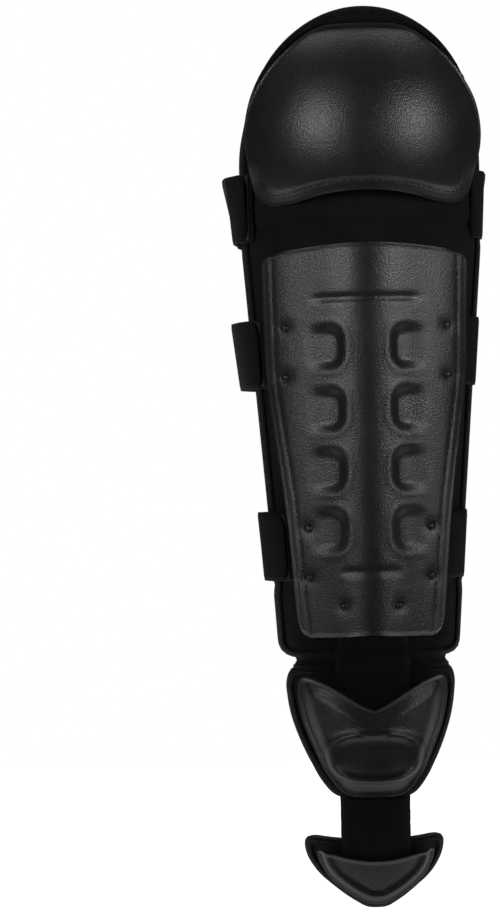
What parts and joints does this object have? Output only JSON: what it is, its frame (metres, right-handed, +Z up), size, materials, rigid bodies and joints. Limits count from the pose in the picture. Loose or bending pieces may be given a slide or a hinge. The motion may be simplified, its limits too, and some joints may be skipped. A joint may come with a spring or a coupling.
{
  "type": "knee, shin and foot guard",
  "caption": "Hard-shell guard for the front of one leg: domed knee cap, shin plate, hinged instep and toe shells, fabric pads and wrap-round straps.",
  "frame": {"origin": "on the leg's axis at the middle of the calf strap", "axes": "+Z up the leg; the guard's front faces -Y; +X is to the right seen from the front"},
  "size_m": [0.1925, 0.189, 0.652],
  "materials": {
    "shell": "textured, satin",
    "pad_fabric": "woven nylon",
    "binding": "folded tape",
    "foam": "closed-cell foam",
    "rivet": "blackened",
    "webbing": "ribbed elastic",
    "hook_loop": "hook and loop"
  },
  "bodies": {
    "shin": {"shin_plate": "shell", "shin_cover": "pad_fabric", "shin_foam": "foam", "shin_lining": "pad_fabric", "shin_binding": "binding", "rivets": "rivet", "rivet_washers": "rivet", "flex_band": "pad_fabric", "foot_web": "webbing", "foot_web_narrow": "webbing", "calf_anchor": "webbing", "calf_landing": "webbing", "calf_loop_patch": "hook_loop", "ankle_anchor": "webbing", "ankle_landing": "webbing", "ankle_loop_patch": "hook_loop"},
    "knee": {"knee_cap": "shell", "knee_foam": "foam", "knee_cover": "pad_fabric", "knee_lining": "pad_fabric", "knee_binding": "binding", "knee_brim": "pad_fabric", "knee_anchor": "webbing", "knee_landing": "webbing", "knee_loop_patch": "hook_loop"},
    "instep": {"instep_plate": "shell", "instep_cover": "pad_fabric", "instep_foam": "foam", "instep_lining": "pad_fabric", "instep_web": "webbing", "instep_web_narrow": "webbing"},
    "toe": {"toe_plate": "shell", "toe_cover": "pad_fabric", "toe_foam": "foam", "toe_lining": "pad_fabric", "toe_web": "webbing", "toe_web_narrow": "webbing"},
    "knee_band": {"knee_strap": "webbing"},
    "knee_end": {"knee_tab": "webbing", "knee_hook_patch": "hook_loop"},
    "calf_band": {"calf_strap": "webbing"},
    "calf_end": {"calf_tab": "webbing", "calf_hook_patch": "hook_loop"},
    "ankle_band": {"ankle_strap": "webbing"},
    "ankle_end": {"ankle_tab": "webbing", "ankle_hook_patch": "hook_loop"}
  },
  "joints": [
    {"name": "knee_flex", "type": "hinge", "parent": "shin", "child": "knee", "pos_m": [0, -0.062, 0.092], "axis": [-1, 0, 0], "range_deg": [0, 30], "stiffness_Nm_per_rad": 4},
    {"name": "instep_flex", "type": "hinge", "parent": "shin", "child": "instep", "pos_m": [0, -0.07481, -0.226], "axis": [-1, 0, 0], "range_deg": [-8, 60], "stiffness_Nm_per_rad": 1.5},
    {"name": "toe_flex", "type": "hinge", "parent": "instep", "child": "toe", "pos_m": [0, -0.06601, -0.34], "axis": [-1, 0, 0], "range_deg": [-15, 40], "stiffness_Nm_per_rad": 0.6},
    {"name": "knee_strap_swing", "type": "hinge", "parent": "knee", "child": "knee_band", "pos_m": [0.09148, -0.03112, 0.108], "axis": [0, 0, -1], "range_deg": [0, 40]},
    {"name": "knee_strap_peel", "type": "hinge", "parent": "knee_band", "child": "knee_end", "pos_m": [0, 0.06235, 0.108], "axis": [0, 0, -1], "range_deg": [0, 80]},
    {"name": "calf_strap_swing", "type": "hinge", "parent": "shin", "child": "calf_band", "pos_m": [0.0862, -0.03274, 0], "axis": [0, 0, -1], "range_deg": [0, 55]},
    {"name": "calf_strap_peel", "type": "hinge", "parent": "calf_band", "child": "calf_end", "pos_m": [0, 0.06158, 0], "axis": [0, 0, -1], "range_deg": [0, 110]},
    {"name": "ankle_strap_swing", "type": "hinge", "parent": "shin", "child": "ankle_band", "pos_m": [0.07455, -0.03188, -0.142], "axis": [0, 0, -1], "range_deg": [0, 55]},
    {"name": "ankle_strap_peel", "type": "hinge", "parent": "ankle_band", "child": "ankle_end", "pos_m": [0, 0.04946, -0.142], "axis": [0, 0, -1], "range_deg": [0, 110]}
  ],
  "couplings": [
    {"joint": "knee_strap_swing", "follows": "knee_strap_peel", "ratio": 0.5},
    {"joint": "calf_strap_swing", "follows": "calf_strap_peel", "ratio": 0.5},
    {"joint": "ankle_strap_swing", "follows": "ankle_strap_peel", "ratio": 0.5}
  ]
}
